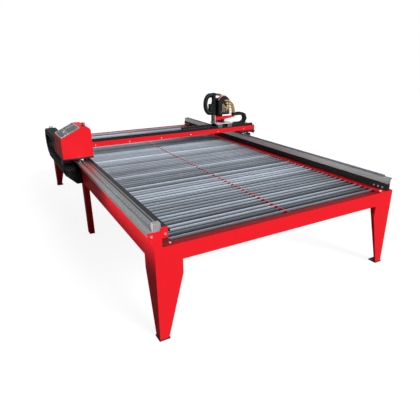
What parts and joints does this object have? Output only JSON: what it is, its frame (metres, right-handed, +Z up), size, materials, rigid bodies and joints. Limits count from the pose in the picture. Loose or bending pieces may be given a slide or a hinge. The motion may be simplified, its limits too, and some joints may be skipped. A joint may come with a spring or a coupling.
{
  "type": "cnc plasma table",
  "caption": "Slatted cutting table on tapered legs with a rack-driven gantry, a control box, drag chains and a torch carriage that lifts on a screw.",
  "frame": {"origin": "on the floor under the middle of the machine", "axes": "+X along the slats from the control box side, +Y along the gantry's travel away from the front apron, +Z up"},
  "size_m": [2.37, 3.71, 1.25],
  "materials": {
    "red_paint": "semi-gloss red paint",
    "dark_red_paint": "semi-gloss red paint, in shade",
    "grey_paint": "satin grey paint",
    "black_paint": "satin black paint",
    "black_guide": "black oxide guide",
    "foot_steel": "dull painted steel",
    "galvanised_steel": "galvanised sheet",
    "rail_aluminium": "anodised extrusion",
    "rail_steel": "ground bar",
    "guide_steel": "ground and hardened",
    "rack_steel": "cut teeth",
    "zinc_bolts": "zinc plated",
    "slide_aluminium": "machined",
    "chain_nylon": "moulded nylon",
    "motor_blue": "dark blue motor",
    "motor_black": "black motor",
    "panel_grey": "front panel",
    "screen_glass": "dark screen",
    "estop_dark": "switch collar",
    "estop_red": "push button",
    "torch_plastic": "torch handle",
    "nozzle_brass": "nozzle",
    "conduit_rubber": "corrugated conduit",
    "lead_rubber": "torch leads"
  },
  "bodies": {
    "table": {"leg_front_left": "red_paint", "leg_front_right": "red_paint", "leg_rear_left": "red_paint", "leg_rear_right": "red_paint", "middle_legs": "dark_red_paint", "foot_plates": "foot_steel", "front_apron": "red_paint", "rear_apron": "red_paint", "left_side_beam": "red_paint", "right_side_beam": "red_paint", "cross_members": "dark_red_paint", "left_comb": "dark_red_paint", "right_comb": "dark_red_paint", "centre_support": "dark_red_paint", "slats": "galvanised_steel", "left_rail": "rail_aluminium", "right_rail": "rail_steel", "guide_rails": "guide_steel", "racks": "rack_steel", "rail_strips": "black_paint", "rail_end_plates": "red_paint", "frame_bolts": "zinc_bolts", "stop_blocks": "grey_paint", "chain_tray": "black_paint", "y_chain_lower": "chain_nylon"},
    "gantry": {"gantry_beam": "red_paint", "beam_bolts": "zinc_bolts", "beam_end_caps": "red_paint", "left_truck": "black_paint", "right_truck": "black_paint", "y_guide_blocks": "guide_steel", "y_motors": "motor_blue", "control_box": "red_paint", "control_panel": "panel_grey", "display_screen": "screen_glass", "estop_base": "estop_dark", "x_guide_rail": "black_guide", "x_rack": "rack_steel", "x_chain_tray": "grey_paint", "x_chain_lower": "chain_nylon", "y_chain_upper": "chain_nylon"},
    "y_bend": {"y_chain_bend": "chain_nylon"},
    "left_gear": {"left_pinion": "rack_steel"},
    "right_gear": {"right_pinion": "rack_steel"},
    "stop_button": {"estop_head": "estop_red"},
    "carriage": {"carriage_plate": "grey_paint", "x_guide_blocks": "guide_steel", "x_motor": "motor_black", "lifter_housing": "black_paint", "z_motor": "motor_black", "chain_bracket": "red_paint", "torch_conduit": "conduit_rubber", "torch_leads": "lead_rubber", "x_chain_upper": "chain_nylon"},
    "x_bend": {"x_chain_bend": "chain_nylon"},
    "x_gear": {"x_pinion": "rack_steel"},
    "screw": {"lead_screw": "guide_steel"},
    "lifter": {"torch_slide": "slide_aluminium", "torch_body": "torch_plastic", "torch_nozzle": "nozzle_brass"}
  },
  "joints": [
    {"name": "gantry_slide", "type": "slide", "parent": "table", "child": "gantry", "axis": [0, 1, 0], "range_m": [-1.7, 1.2], "deforming": ["y_chain_lower", "y_chain_upper", "y_chain_bend"]},
    {"name": "y_chain_roll", "type": "slide", "parent": "table", "child": "y_bend", "axis": [0, 1, 0], "range_m": [-0.86, 0.61], "deforming": ["y_chain_lower", "y_chain_upper", "y_chain_bend"]},
    {"name": "left_pinion_spin", "type": "hinge", "parent": "gantry", "child": "left_gear", "pos_m": [-1.0575, 0.15, 0.7275], "axis": [1, 0, 0], "range_deg": [-6500, 4600]},
    {"name": "right_pinion_spin", "type": "hinge", "parent": "gantry", "child": "right_gear", "pos_m": [0.9995, 0.29, 0.7275], "axis": [1, 0, 0], "range_deg": [-6500, 4600]},
    {"name": "carriage_slide", "type": "slide", "parent": "gantry", "child": "carriage", "axis": [1, 0, 0], "range_m": [-1.45, 0.06], "deforming": ["x_chain_lower", "x_chain_upper", "x_chain_bend"]},
    {"name": "x_chain_roll", "type": "slide", "parent": "gantry", "child": "x_bend", "axis": [1, 0, 0], "range_m": [-0.73, 0.04], "deforming": ["x_chain_lower", "x_chain_upper", "x_chain_bend"]},
    {"name": "x_pinion_spin", "type": "hinge", "parent": "carriage", "child": "x_gear", "pos_m": [0.75, 0.3425, 0.8565], "axis": [0, 0, 1], "range_deg": [-5560, 250]},
    {"name": "torch_lift", "type": "slide", "parent": "carriage", "child": "lifter", "axis": [0, 0, 1], "range_m": [-0.07, 0.08]},
    {"name": "lead_screw_spin", "type": "hinge", "parent": "carriage", "child": "screw", "pos_m": [0.72, 0.44, 1.03], "axis": [0, 0, 1], "range_deg": [-5770, 5050]},
    {"name": "estop_push", "type": "slide", "parent": "gantry", "child": "stop_button", "axis": [0, 0, -1], "range_m": [0, 0.006]}
  ],
  "couplings": [
    {"joint": "y_chain_roll", "follows": "gantry_slide", "ratio": 0.5},
    {"joint": "left_pinion_spin", "follows": "gantry_slide", "rad_per_m": 66.667},
    {"joint": "right_pinion_spin", "follows": "gantry_slide", "rad_per_m": 66.667},
    {"joint": "x_chain_roll", "follows": "carriage_slide", "ratio": 0.5},
    {"joint": "x_pinion_spin", "follows": "carriage_slide", "rad_per_m": 66.667},
    {"joint": "lead_screw_spin", "follows": "torch_lift", "rad_per_m": -1256.6}
  ]
}
